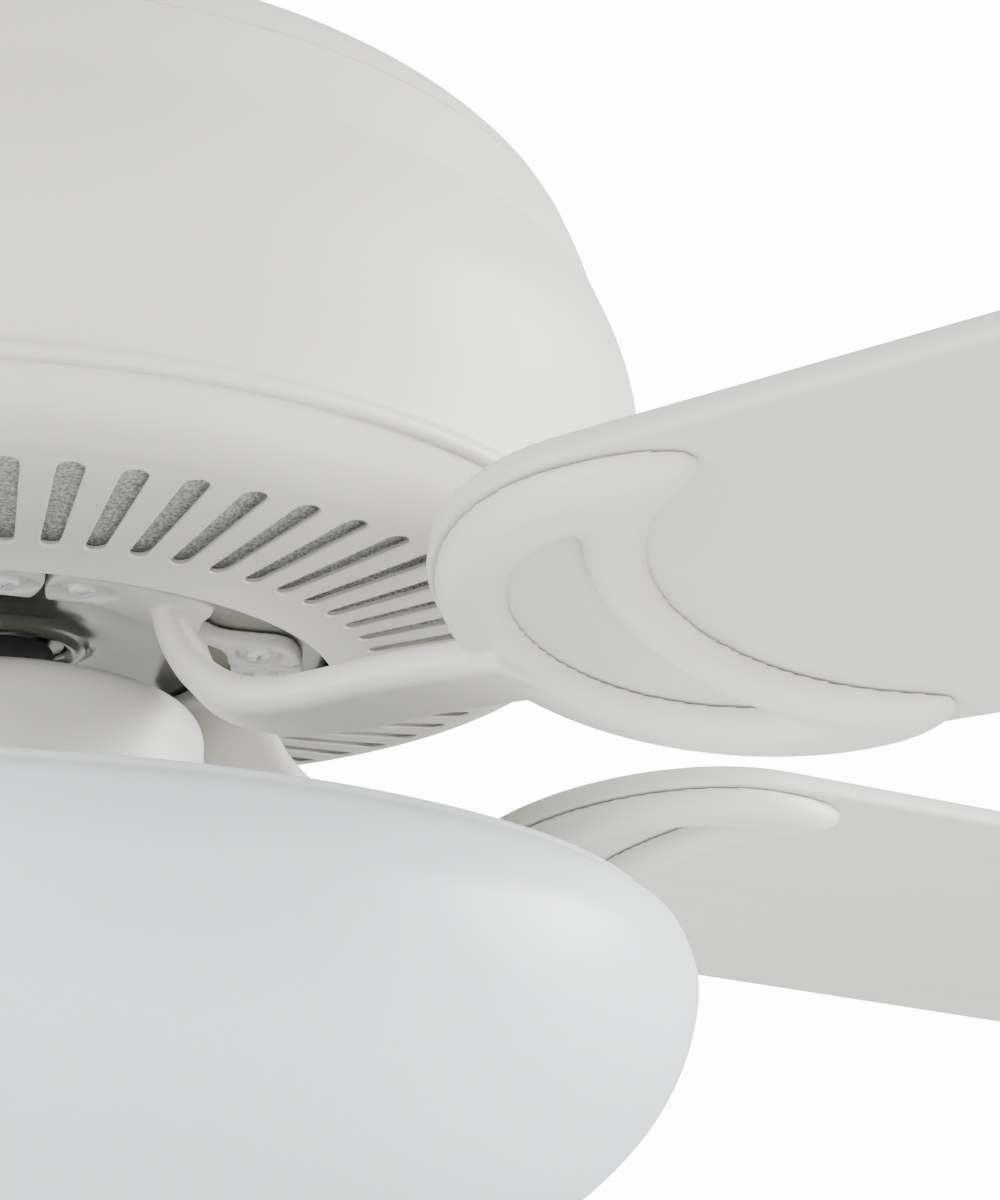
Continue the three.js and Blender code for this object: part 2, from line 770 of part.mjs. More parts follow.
add(body, "switch_plate", switchPlateGeometry(), BARE_STEEL);
add(body, "switch_housing", cupGeometry(), WHITE_PAINT);
add(body, "capacitor", block(CAPACITOR), BLACK);
add(body, "reverse_switch", switchBodyGeometry(), BLACK);
add(body, "reverse_slider", combine(block(SLIDER), [block(SLIDER_KNOB)]), BLACK);
add(body, "light_fitter", fitterGeometry(), WHITE_PAINT);
for (const [i, turn] of turnsOf(FITTER_SCREW).entries())
  add(body, `fitter_screw_${i + 1}`, fitterScrewGeometry(), WHITE_PAINT).rotation.z = turn;
for (const [i, turn] of turnsOf(LAMP).entries()) {
  add(body, `lamp_socket_${i + 1}`, lampPlace(socketGeometry(), turn), PORCELAIN);
  add(body, `bulb_${i + 1}`, lampPlace(bulbGeometry(), turn), OPAL);
}
add(body, "bowl_rod", rod(BOWL_ROD.radius, BOWL_ROD.bottomZ, BOWL_ROD.topZ), BARE_STEEL);
add(body, "glass_bowl", shell(BOWL_PROFILE, BOWL_GLASS, FINE), OPAL);
add(body, "bowl_washer", washerGeometry(), RUBBER);
add(body, "finial", turned(FINIAL_PROFILE, 20), WHITE_PAINT);

const rotor = new THREE.Group();
body.add(rotor);
add(rotor, "rotor_bottom", rotorBottomGeometry(), CAST_ALUMINIUM);
add(rotor, "rotor_top", rotorTopGeometry(), CAST_ALUMINIUM);
for (const [name, z] of [
  ["lower_bearing", BEARING.lowerZ],
  ["upper_bearing", BEARING.upperZ],
])
  add(rotor, name, tube(BEARING.outer, bearingBore, z, z + BEARING.height), BARE_STEEL);

const iron = ironGeometry();
const blade = bladeGeometry();
for (const [i, turn] of bladeTurns.entries()) {
  const arm = new THREE.Group();
  arm.rotation.z = turn;
  rotor.add(arm);
  add(arm, `blade_iron_${i + 1}`, iron, WHITE_PAINT);
  add(arm, `blade_${i + 1}`, blade, WHITE_BLADE);
}
for (const [i, [x, y]] of screwPlaces().entries())
  add(rotor, `iron_screw_${i + 1}`, ironScrewGeometry(), PORCELAIN).position.set(x, y, 0);

export default fan;
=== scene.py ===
import json
import math

import bmesh
import bpy
import numpy as np
from mathutils import Matrix, Vector


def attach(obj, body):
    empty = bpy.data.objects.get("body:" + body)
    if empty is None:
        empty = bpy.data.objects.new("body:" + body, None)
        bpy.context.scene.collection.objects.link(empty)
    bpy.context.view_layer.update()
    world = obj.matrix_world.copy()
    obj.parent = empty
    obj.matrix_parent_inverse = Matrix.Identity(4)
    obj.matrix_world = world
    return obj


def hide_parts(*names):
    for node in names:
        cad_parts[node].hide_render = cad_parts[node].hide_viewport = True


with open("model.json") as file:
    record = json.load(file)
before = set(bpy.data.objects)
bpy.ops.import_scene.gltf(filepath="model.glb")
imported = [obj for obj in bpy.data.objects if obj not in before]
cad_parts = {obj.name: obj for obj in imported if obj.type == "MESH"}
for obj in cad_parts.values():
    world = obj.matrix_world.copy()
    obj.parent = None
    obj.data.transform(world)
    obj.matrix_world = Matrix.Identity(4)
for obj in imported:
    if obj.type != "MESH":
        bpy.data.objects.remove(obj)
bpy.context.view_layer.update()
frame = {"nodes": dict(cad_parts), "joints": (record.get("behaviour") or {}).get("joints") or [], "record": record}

# All shapes below are in millimetres, measured from the fan's axis and from the vent face,
# whose height is the rotor joint's. They are scaled to metres when a mesh is made.
MM = 0.001
JOINTS = {joint["name"]: joint for joint in frame["joints"]}
VENT_Z = JOINTS["rotor_spin"]["pos_m"][2] / MM
HANGING = "hanging_frame"
ROTOR = "rotor"

BLADES = 5
FIRST_BLADE_DEG = -46.9
PITCH_DEG = 12
BLADE_PLANE_Z = -24.2
BLADE_THICK = 5.3

SLOTS = 60
SLOT_PHASE_DEG = -91
SLOT_IN, SLOT_OUT = 88.9, 125.4
SLOT_HALF_IN, SLOT_HALF_OUT = 2.1, 2.8
SHEET = 1.6

BACKDROP = 14.0
SKY_SIDE = (0.8, 0.1, 0.59)
SKY_LEVELS = (0.65, 1.25)


# ---- Curves and meshes -------------------------------------------------------------------------


def arc(x, y, radius, start, end, steps):
    """Points of an arc, in degrees."""
    angles = np.radians(np.linspace(start, end, steps + 1))
    return [(x + radius * math.cos(a), y + radius * math.sin(a)) for a in angles]


def flow(points, steps=6):
    """A smooth line through the points, by Catmull-Rom."""
    p = [np.array(q, float) for q in points]
    p = [2 * p[0] - p[1], *p, 2 * p[-1] - p[-2]]
    line = []
    for a, b, c, d in zip(p, p[1:], p[2:], p[3:]):
        for i in range(steps):
            t = i / steps
            line.append(0.5 * (2 * b + (c - a) * t + (2 * a - 5 * b + 4 * c - d) * t**2
                               + (3 * b - a - 3 * c + d) * t**3))
    line.append(p[-2])
    return [tuple(q) for q in line]


def offset(line, distance):
    """An open line moved sideways, to the left of its direction."""
    p = np.array(line, float)
    along = np.gradient(p, axis=0)
    along /= np.linalg.norm(along, axis=1)[:, None]
    normal = np.column_stack([-along[:, 1], along[:, 0]])
    return [tuple(q) for q in p + normal * distance]


def sheet_profile(outer, thickness=SHEET):
    """The closed profile of a pressed sheet with soft ends, from its outer line."""
    inner = offset(outer, thickness)[::-1]

    def cap(a, b):
        mid = (np.array(a) + np.array(b)) / 2
        side = np.array(b) - np.array(a)
        out = np.array([side[1], -side[0]]) * 0.35
        return [tuple(mid + out)]

    return [*outer, *cap(outer[-1], inner[0]), *inner, *cap(inner[-1], outer[0])]


def revolve(profile, sides=192, closed=True):
    """Vertices and faces of a profile of (radius, z) turned about Z. Points on the axis make a fan."""
    verts, faces, rings = [], [], []
    angles = np.linspace(0, 2 * math.pi, sides, endpoint=False)
    for r, z in profile:
        if r < 1e-6:
            rings.append([len(verts)])
            verts.append((0, 0, z))
        else:
            rings.append(list(range(len(verts), len(verts) + sides)))
            verts.extend((r * math.cos(a), r * math.sin(a), z) for a in angles)
    pairs = list(zip(rings, rings[1:]))
    if closed and len(rings[0]) > 1:
        pairs.append((rings[-1], rings[0]))
    for low, high in pairs:
        for i in range(sides):
            j = (i + 1) % sides
            quad = [low[i % len(low)], low[j % len(low)], high[j % len(high)], high[i % len(high)]]
            face = list(dict.fromkeys(quad))
            if len(face) > 2:
                faces.append(face)
    return verts, faces


def mesh_of(name, verts, faces, sharp_deg=38):
    """A mesh with merged vertices, faces pointing out and sharp edges where it turns."""
    mesh = bpy.data.meshes.new(name)
    bm = bmesh.new()
    points = [bm.verts.new([c * MM for c in v]) for v in verts]
    for face in faces:
        bm.faces.new([points[i] for i in face])
    bmesh.ops.remove_doubles(bm, verts=bm.verts, dist=1e-6)
    bmesh.ops.recalc_face_normals(bm, faces=bm.faces)
    bm.to_mesh(mesh)
    bm.free()
    mesh.shade_smooth()
    mesh.set_sharp_from_angle(angle=math.radians(sharp_deg))
    return mesh


def place(name, mesh, look, body=HANGING, nodes=(), z=VENT_Z, turn=0, matrix=None):
    """An object of a mesh, with its material, on its body, in the place of CAD nodes."""
    obj = bpy.data.objects.new(name, mesh)
    bpy.context.scene.collection.objects.link(obj)
    obj.matrix_world = (Matrix.Translation((0, 0, z * MM)) @ Matrix.Rotation(turn, 4, "Z")
                        @ (matrix or Matrix.Identity(4)))
    if not mesh.materials:
        mesh.materials.append(LOOKS[look])
    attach(obj, body)
    if nodes:
        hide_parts(*nodes)
    return obj


def turned(name, profile, look, body=HANGING, nodes=(), z=VENT_Z, sides=192, sharp_deg=38, **where):
    mesh = mesh_of(name, *revolve(profile, sides), sharp_deg)
    return place(name, mesh, look, body, nodes or (name,), z, **where)


def prism(outline, z0, z1):
    """Vertices and faces of an outline in XY, from z0 up to z1."""
    n = len(outline)
    verts = [(x, y, z0) for x, y in outline] + [(x, y, z1) for x, y in outline]
    sides = [[i, (i + 1) % n, n + (i + 1) % n, n + i] for i in range(n)]
    return verts, [list(range(n))[::-1], list(range(n, 2 * n)), *sides]


def modified(obj, kind, **settings):
    """The object's mesh after one modifier, which is then gone."""
    modifier = obj.modifiers.new(kind.lower(), kind)
    for key, value in settings.items():
        setattr(modifier, key, value)
    bpy.context.view_layer.update()
    done = bpy.data.meshes.new_from_object(obj.evaluated_get(bpy.context.evaluated_depsgraph_get()))
    obj.modifiers.clear()
    obj.data = done
    return obj


def scratch(mesh):
    obj = bpy.data.objects.new("scratch", mesh)
    bpy.context.scene.collection.objects.link(obj)
    return obj


# ---- Materials ---------------------------------------------------------------------------------


class Look:
    """A procedural material: a Principled shader whose varying inputs come from textures."""

    def __init__(self, name, color, roughness, metallic=0.0, **fixed):
        self.material = bpy.data.materials.new(name)
        self.material.use_nodes = True
        self.nodes = self.material.node_tree.nodes
        self.links = self.material.node_tree.links
        self.shader = self.nodes["Principled BSDF"]
        self.shader.inputs["Base Color"].default_value = (*color, 1)
        self.shader.inputs["Roughness"].default_value = roughness
        self.shader.inputs["Metallic"].default_value = metallic
        for socket, value in fixed.items():
            self.shader.inputs[socket.replace("_", " ")].default_value = value
        self.coords = self.nodes.new("ShaderNodeTexCoord").outputs["Object"]

    def scaled(self, scale):
        mapping = self.nodes.new("ShaderNodeMapping")
        mapping.inputs["Scale"].default_value = scale
        self.links.new(self.coords, mapping.inputs["Vector"])
        return mapping.outputs["Vector"]

    def noise(self, scale, detail=3.0, stretch=(1, 1, 1)):
        node = self.nodes.new("ShaderNodeTexNoise")
        node.inputs["Scale"].default_value = scale
        node.inputs["Detail"].default_value = detail
        self.links.new(self.scaled(stretch), node.inputs["Vector"])
        return node.outputs["Fac"]

    def bands(self, scale, direction="Z"):
        node = self.nodes.new("ShaderNodeTexWave")
        node.bands_direction = direction
        node.inputs["Scale"].default_value = scale
        self.links.new(self.coords, node.inputs["Vector"])
        return node.outputs["Fac"]

    def ramp(self, source, low, high, start=0.3, end=0.7):
        node = self.nodes.new("ShaderNodeValToRGB")
        node.color_ramp.elements[0].position = start
        node.color_ramp.elements[0].color = (*low, 1)
        node.color_ramp.elements[1].position = end
        node.color_ramp.elements[1].color = (*high, 1)
        self.links.new(source, node.inputs["Fac"])
        return node.outputs["Color"]

    def color(self, source, low, high, start=0.3, end=0.7):
        self.links.new(self.ramp(source, low, high, start, end), self.shader.inputs["Base Color"])
        return self

    def roughness(self, source, low, high):
        node = self.nodes.new("ShaderNodeMapRange")
        node.inputs["To Min"].default_value = low
        node.inputs["To Max"].default_value = high
        self.links.new(source, node.inputs["Value"])
        self.links.new(node.outputs["Result"], self.shader.inputs["Roughness"])
        return self

    def bump(self, source, distance_mm, strength=1.0):
        node = self.nodes.new("ShaderNodeBump")
        node.inputs["Strength"].default_value = strength
        node.inputs["Distance"].default_value = distance_mm * MM
        self.links.new(source, node.inputs["Height"])
        last = self.shader.inputs["Normal"]
        if last.is_linked:
            self.links.new(last.links[0].from_socket, node.inputs["Normal"])
        self.links.new(node.outputs["Normal"], last)
        return self


def white_paint(name, low, high):
    """Satin powder coat: warm white, with a faint orange peel and cloudy gloss."""
    look = Look(name, high, 0.42, Specular_IOR_Level=0.5)
    look.color(look.noise(9, 4), low, high)
    look.roughness(look.noise(30, 3), 0.36, 0.5)
    look.bump(look.noise(420, 2), 0.02, 0.5)
    return look.material


def blade_film():
    """White film on board: a faint grain along the blade."""
    look = Look("blade_white", (0.66, 0.65, 0.63), 0.5, Specular_IOR_Level=0.4)
    look.color(look.noise(60, 5, (0.08, 1, 1)), (0.64, 0.634, 0.596), (0.675, 0.669, 0.634))
    look.roughness(look.noise(40, 3), 0.44, 0.56)
    look.bump(look.noise(900, 3, (0.15, 1, 1)), 0.012, 0.5)
    return look.material


def brushed_steel():
    look = Look("bare_steel", (0.6, 0.6, 0.59), 0.3, 1.0)
    look.color(look.noise(18, 4), (0.5, 0.5, 0.49), (0.66, 0.66, 0.65))
    look.roughness(look.noise(300, 4, (1, 1, 12)), 0.22, 0.42)
    look.bump(look.noise(700, 2, (1, 1, 10)), 0.01, 0.6)
    return look.material


def zinc_mesh():
    """The speckled grey liner seen through the vents."""
    look = Look("zinc_mesh", (0.5, 0.5, 0.49), 0.7, 0.1)
    look.color(look.noise(1300, 5), (0.3, 0.3, 0.29), (0.72, 0.72, 0.705), 0.38, 0.62)
    look.bump(look.noise(1100, 4), 0.35, 0.8)
    return look.material


def motor_aluminium():
    """Polished casting: glossy, with a greenish grey lacquer."""
    look = Look("motor_aluminium", (0.36, 0.37, 0.33), 0.2, 0.85)
    look.color(look.noise(14, 3), (0.33, 0.342, 0.305), (0.39, 0.402, 0.365))
    look.roughness(look.noise(60, 4), 0.16, 0.24)
    look.bump(look.noise(300, 2), 0.004, 0.25)
    return look.material


def laminations():
    look = Look("laminations", (0.12, 0.12, 0.125), 0.5, 0.8)
    look.color(look.bands(320), (0.05, 0.05, 0.052), (0.2, 0.2, 0.205))
    look.bump(look.bands(320), 0.1)
    return look.material


def copper_winding():
    look = Look("copper_winding", (0.55, 0.25, 0.1), 0.35, 0.9, Coat_Weight=0.4)
    look.color(look.noise(220, 3), (0.36, 0.15, 0.06), (0.66, 0.32, 0.14))
    look.bump(look.bands(260), 0.25)
    return look.material


def black_plastic():
    look = Look("black_plastic", (0.02, 0.02, 0.022), 0.5)
    look.color(look.noise(25, 3), (0.016, 0.016, 0.017), (0.028, 0.028, 0.03))
    look.roughness(look.noise(50, 3), 0.42, 0.6)
    look.bump(look.noise(1500, 2), 0.02, 0.7)
    return look.material


def white_screw():
    look = Look("white_screw", (0.8, 0.8, 0.81), 0.25, Coat_Weight=0.5)
    look.color(look.noise(260, 4), (0.6, 0.6, 0.62), (0.84, 0.84, 0.85), 0.2, 0.6)
    look.roughness(look.noise(200, 3), 0.18, 0.4)
    look.bump(look.noise(500, 3), 0.05, 0.5)
    return look.material


def porcelain():
    look = Look("porcelain", (0.82, 0.81, 0.78), 0.2, Coat_Weight=0.6)
    look.color(look.noise(30, 4), (0.78, 0.77, 0.74), (0.84, 0.83, 0.8))
    look.bump(look.noise(160, 2), 0.04, 0.4)
    return look.material


def opal_glass():
    """Acid-frosted opal glass: milky through its thickness, cool at the rim."""
    look = Look("opal_glass", (0.73, 0.77, 0.8), 0.34, IOR=1.5,
                Subsurface_Weight=0.35, Subsurface_Scale=0.012)
    look.color(look.noise(7, 3), (0.71, 0.762, 0.8), (0.74, 0.785, 0.835))
    look.roughness(look.noise(35, 3), 0.3, 0.4)
    look.bump(look.noise(1200, 2), 0.01, 0.5)
    return look.material


def bulb_glass():
    look = Look("bulb_glass", (0.9, 0.9, 0.87), 0.3, Subsurface_Weight=0.4, Subsurface_Scale=0.01)
    look.color(look.noise(20, 3), (0.86, 0.86, 0.83), (0.92, 0.92, 0.9))
    look.bump(look.noise(1500, 2), 0.008, 0.5)
    return look.material


def rubber():
    look = Look("rubber", (0.05, 0.05, 0.05), 0.8)
    look.color(look.noise(60, 4), (0.035, 0.035, 0.035), (0.07, 0.07, 0.07))
    look.bump(look.noise(900, 3), 0.04, 0.6)
    return look.material


LOOKS = {
    "white_paint": white_paint("white_paint", (0.69, 0.676, 0.632), (0.715, 0.702, 0.66)),
    "blade_white": blade_film(),
    "bare_steel": brushed_steel(),
    "zinc_mesh": zinc_mesh(),
    "motor_aluminium": motor_aluminium(),
    "laminations": laminations(),
    "copper_winding": copper_winding(),
    "black_plastic": black_plastic(),
    "white_screw": white_screw(),
    "porcelain": porcelain(),
    "bulb_glass": bulb_glass(),
    "opal_glass": opal_glass(),
    "rubber": rubber(),
}


def paint_cad_nodes():
    """Every CAD node that stays in view gets its slot's procedural material."""
    slots = {part["node"]: part["material_slot"] for part in frame["record"]["subparts"]}
    for name, obj in frame["nodes"].items():
        obj.data.materials.clear()
        obj.data.materials.append(LOOKS[slots[name]])


# ---- Housings ----------------------------------------------------------------------------------

FACE_LINE = flow([(79.3, -2.8), (84, -1.25), (89.6, 0), (107, 2.3), (124.6, 4.8), (132, 6.5),
                  (138.5, 10), (142.5, 14.6), (144.2, 17.6)], 5)
BEAD_LINE = [*arc(145.2, 19.2, 2.0, -118, 50, 10), (146.3, 21.0), (146.2, 21.6)]
WALL_LINE = flow([(146.5, 22.9), (148.3, 30), (150.8, 40), (152.5, 50), (152.7, 58), (151.6, 65.5),
                  (149.6, 72.5), (147, 79), (145.6, 82)], 5)


def face_height(radius):
    line = np.array(FACE_LINE)
    return float(np.interp(radius, line[:, 0], line[:, 1]))


def slot_outline(grow, ends, sides):
    """A slot with round ends about the X axis, grown by a margin, anticlockwise from its inner end."""
    inner = arc(SLOT_IN + SLOT_HALF_IN, 0, SLOT_HALF_IN + grow, 270, 90, ends)
    outer = arc(SLOT_OUT - SLOT_HALF_OUT, 0, SLOT_HALF_OUT + grow, 90, -90, ends)
    up = [tuple(q) for q in np.linspace(inner[-1], outer[0], sides + 1)[1:-1]]
    down = [tuple(q) for q in np.linspace(outer[-1], inner[0], sides + 1)[1:-1]]
    return [*inner, *up, *outer, *down]


def vent_sector(ends=6, sides=10):
    """One sixtieth of the vent face: rings of points from the sector's edge in to the slot's rim."""
    half = 180 / SLOTS
    low, high = 84.0, 129.0
    edge = arc(0, 0, low, -half, half, ends)
    radii = np.linspace(low, high, sides + 1)[1:-1]
    up = [(r * math.cos(math.radians(half)), r * math.sin(math.radians(half))) for r in radii]
    far = arc(0, 0, high, half, -half, ends)
    down = [(x, -y) for x, y in up[::-1]]
    border = np.array([*edge, *up, *far, *down])
    rings = [(border, 0)]
    near = np.array(slot_outline(0.9, ends, sides))
    rings.append(((border + near) / 2, 0))
    for grow, lift in ((0.9, 0), (0.45, -0.06), (0.12, 0.1), (0, 0.45)):
        rings.append((np.array(slot_outline(grow, ends, sides)), lift))
    verts = [(x, y, face_height(math.hypot(x, y)) + lift) for ring, lift in rings for x, y in ring]
    n = len(border)
    faces = [[k * n + i, k * n + (i + 1) % n, (k + 1) * n + (i + 1) % n, (k + 1) * n + i]
             for k in range(len(rings) - 1) for i in range(n)]
    return verts, faces, low, high


def lower_housing():
    verts, faces, low, high = vent_sector()
    all_verts, all_faces = [], []
    for k in range(SLOTS):
        turn = math.radians(SLOT_PHASE_DEG + 360 * k / SLOTS)
        c, s = math.cos(turn), math.sin(turn)
        base = len(all_verts)
        all_verts += [(x * c - y * s, x * s + y * c, z) for x, y, z in verts]
        all_faces += [[base + i for i in face] for face in faces]
    lip = [(r, z) for r, z in FACE_LINE if r < low - 0.5] + [(low, face_height(low))]
    rest = [(high, face_height(high))] + [(r, z) for r, z in FACE_LINE if r > high + 0.5]
    phase = math.radians(SLOT_PHASE_DEG + 180 / SLOTS)
    c, s = math.cos(phase), math.sin(phase)
    for line in (lip, [*rest, *BEAD_LINE, *WALL_LINE]):
        ring_verts, ring_faces = revolve(line, SLOTS * 6, closed=False)
        base = len(all_verts)
        all_verts += [(x * c - y * s, x * s + y * c, z) for x, y, z in ring_verts]
        all_faces += [[base + i for i in face] for face in ring_faces]
    mesh = mesh_of("lower_housing_skin", all_verts, all_faces, 45)
    obj = scratch(mesh)
    modified(obj, "SOLIDIFY", thickness=SHEET * MM, offset=-1.0, use_even_offset=True)
    mesh = obj.data
    bpy.data.objects.remove(obj)
    mesh.set_sharp_from_angle(angle=math.radians(45))
    place("lower_housing_skin", mesh, "white_paint", HANGING, ("lower_housing",))


def upper_housing():
    dome = flow([(144.6, 83), (143.3, 87.6), (141.4, 93.7), (139.5, 98.6), (137.6, 103)], 4)
    cap = flow([(137.3, 103.9), (133, 110.6), (125, 118), (112, 125.6), (95, 131.8), (74, 136.4),
                (50, 139.6), (30, 140.8), (17, 141)], 4)
    outer = [(145.5, 82.6), *dome, (136.6, 103.3), *cap]
    turned("upper_housing_skin", sheet_profile(outer), "white_paint", HANGING, ("upper_housing",))


def vent_liner():
    line = [(84.4, 2.4), (95, 3.9), (112, 6.2), (127.6, 8.3)]
    turned("vent_liner_mesh", sheet_profile(flow(line), 0.8), "zinc_mesh", HANGING, ("vent_liner",))


# ---- Blade irons and blades ---------------------------------------------------------------------

FOOT_Z, FOOT_TOP = -0.5, 3.1
FOOT_IN, FOOT_OUT, FOOT_DEG = 53.6, 71.5, 35.7
SCREW_R, SCREW_DEG = 62.5, 28.2
SCALLOP, SCALLOP_DEG, SCALLOP_WIDTH = 14, 10.5, 10.5
ARM_WIDTH, ARM_THICK = 27, 8.4
NECK_SKEW, NECK_S, STRAIGHT_S = 0.52, 68, 98
ARM_PATH = [(63, 1.5), (64.2, -3), (67.4, -9.4), (74, -17.2), (85, -23.8), (100, -26.2), (125, -26.2),
            (155, -27.4)]
ARM_EDGE = 4.0
FOOT_CORNER = 1.6
FOOT_LIP = 1.5
RECESS_ACROSS, RECESS_ALONG, RECESS_DEPTH = 7.4, 5.6, 2.3
SCREW_SEAT_Z = FOOT_Z + 2.35

HEAD_THICK, HEAD_ROUND, HEAD_GAP = 6.6, 6.2, 0.32
DISC_X, DISC_R = 202, 58.2
BITE_X, BITE_R = 242, 50.3
WINDOW_X, WINDOW_R = 198, 40.5
WINDOW_BITE_X, WINDOW_BITE_R = 250.5, 70
CAST_VOXEL, CAST_SMOOTH, CAST_KEEP = 0.62, 5, 0.4

TIP, TIP_HALF, TIP_CORNER = 659.6, 70, 34
ROOT_X, ROOT_R = 202, 60
BLADE_SCREWS = ((157, 0), (212, -49), (212, 49))
PITCH = Matrix.Translation((0, 0, BLADE_PLANE_Z)) @ Matrix.Rotation(math.radians(-PITCH_DEG), 4, "X")


def blade_turn(i):
    return math.radians(FIRST_BLADE_DEG + 360 * i / BLADES)


def shift(verts, matrix):
    return [tuple(matrix @ Vector(v)) for v in verts]


def swept(path, section, skew):
    """A closed bar: a section of (across, thickness) points carried along a path of (s, z)."""
    p = np.array(path, float)
    along = np.gradient(p, axis=0)
    along /= np.linalg.norm(along, axis=1)[:, None]
    n = len(section)
    verts = [(x - a[1] * t - skew(x, y), y, z + a[0] * t) for (x, z), a in zip(p, along) for y, t in section]
    faces = [[k * n + i, k * n + (i + 1) % n, (k + 1) * n + (i + 1) % n, (k + 1) * n + i]
             for k in range(len(p) - 1) for i in range(n)]
    faces += [list(range(n))[::-1], [(len(p) - 1) * n + i for i in range(n)]]
    return verts, faces


def arm_skew(s, across):
    """How far the arm's bend leans in towards the axis, from its leading edge to its trailing edge."""
    t = min(max((s - NECK_S) / (STRAIGHT_S - NECK_S), 0), 1)
    return NECK_SKEW * (across + ARM_WIDTH / 2) * (1 - t * t * (3 - 2 * t))


def round_rectangle(half_width, half_height, radius, steps=5):
    x0, y0 = half_width - radius, half_height - radius
    corners = [(x0, y0, 0), (-x0, y0, 90), (-x0, -y0, 180), (x0, -y0, 270)]
    return [q for x, y, a in corners for q in arc(x, y, radius, a, a + 90, steps)]


def polar_outline(inner, outer, half_deg, corner, steps=28):
    """The foot in plan: a ring sector about X, with soft corners, cut away behind the arm."""
    soft = math.degrees(corner / outer)
    far = []
    for a in np.linspace(-half_deg + soft, half_deg - soft, steps + 1):
        r = outer - SCALLOP * math.exp(-(((a - SCALLOP_DEG) / SCALLOP_WIDTH) ** 4))
        far.append((r * math.cos(math.radians(a)), r * math.sin(math.radians(a))))
    near = []
    for a in np.linspace(half_deg - soft, -half_deg + soft, steps + 1):
        under_arm = 4.5 * math.exp(-((a / 17) ** 4))
        lug = math.exp(-(((abs(a) - 33) / 5) ** 2))
        r = inner + FOOT_LIP - under_arm - lug
        near.append((r * math.cos(math.radians(a)), r * math.sin(math.radians(a))))

    def bend(r0, r1, deg, sign):
        points = []
        for t in np.linspace(0.15, 0.85, 4):
            r = r0 + (r1 - r0) * t
            bulge = soft * (1 - abs(2 * t - 1) ** 3)
            a = math.radians(sign * (deg - soft + bulge))
            points.append((r * math.cos(a), r * math.sin(a)))
        return points

    lip = inner + FOOT_LIP
    return [*far, *bend(outer, lip, half_deg, 1), *near, *bend(lip, outer, half_deg, -1)]


def smooth_min(a, b, k):
    h = np.maximum(k - np.abs(a - b), 0) / k
    return np.minimum(a, b) - h * h * k / 4


def crescent_depth(x, y):
    """Distance in from the crescent's edge: one disc less another, less a window of the same kind."""
    disc = DISC_R - np.hypot(x - DISC_X, y)
    bite = np.hypot(x - BITE_X, y) - BITE_R
    window_bite = np.hypot(x - WINDOW_BITE_X, y) - WINDOW_BITE_R
    window = -smooth_min(WINDOW_R - np.hypot(x - WINDOW_X, y), window_bite, 5)
    return smooth_min(smooth_min(disc, bite, 11), window, 2)


def crescent(pitch=0.9):
    """The crescent head as a closed cushion: flat against the blade, rounded below."""
    xs, ys = np.arange(141, 229, pitch), np.arange(-60, 60.01, pitch)
    x, y = np.meshgrid(xs, ys, indexing="ij")
    depth = crescent_depth(x, y)
    e = 0.05
    for _ in range(3):
        gx = (crescent_depth(x + e, y) - crescent_depth(x - e, y)) / (2 * e)
        gy = (crescent_depth(x, y + e) - crescent_depth(x, y - e)) / (2 * e)
        out = (depth < 0) & (depth > -1.6 * pitch)
        x, y = np.where(out, x - gx * depth, x), np.where(out, y - gy * depth, y)
        depth = np.where(out, crescent_depth(x, y), depth)
    keep = depth > -0.05
    t = np.clip(depth / HEAD_ROUND, 0, 1)
    low = -HEAD_GAP - (HEAD_THICK - HEAD_GAP) * np.sqrt(np.clip(1 - (1 - t) ** 2, 0, 1))
    index = -np.ones(x.shape, int)
    index[keep] = np.arange(keep.sum())
    count = int(keep.sum())
    verts = [*zip(x[keep], y[keep], low[keep]), *zip(x[keep], y[keep], np.full(count, -0.3))]
    faces, edges = [], {}
    for i in range(len(xs) - 1):
        for j in range(len(ys) - 1):
            ring = [index[i, j], index[i + 1, j], index[i + 1, j + 1], index[i, j + 1]]
            ring = [k for k in ring if k >= 0]
            if len(ring) < 3:
                continue
            faces += [[int(k) for k in ring[::-1]], [int(k) + count for k in ring]]
            for a, b in zip(ring, ring[1:] + ring[:1]):
                if (b, a) in edges:
                    edges.pop((b, a))
                else:
                    edges[(a, b)] = True
    faces += [[int(a), int(b), int(b) + count, int(a) + count] for a, b in edges]
    return verts, faces


def cutter(parts):
    """One mesh out of several closed ones."""
    verts, faces = [], []
    for v, f in parts:
        faces += [[len(verts) + i for i in face] for face in f]
        verts += v
    return verts, faces


def cut(obj, parts):
    knife = scratch(mesh_of("knife", *cutter(parts)))
    modified(obj, "BOOLEAN", operation="DIFFERENCE", object=knife, solver="EXACT", use_self=True)
    bpy.data.objects.remove(knife)
    return obj


def oval(x, y, across, along, turn, steps=24):
    c, s = math.cos(turn), math.sin(turn)
    points = [(along * q[0], across * q[1]) for q in arc(0, 0, 1, 0, 360, steps)[:-1]]
    return [(x + c * a - s * b, y + s * a + c * b) for a, b in points]


def screw_spots():
    return [(SCREW_R, side * math.radians(SCREW_DEG)) for side in (-1, 1)]


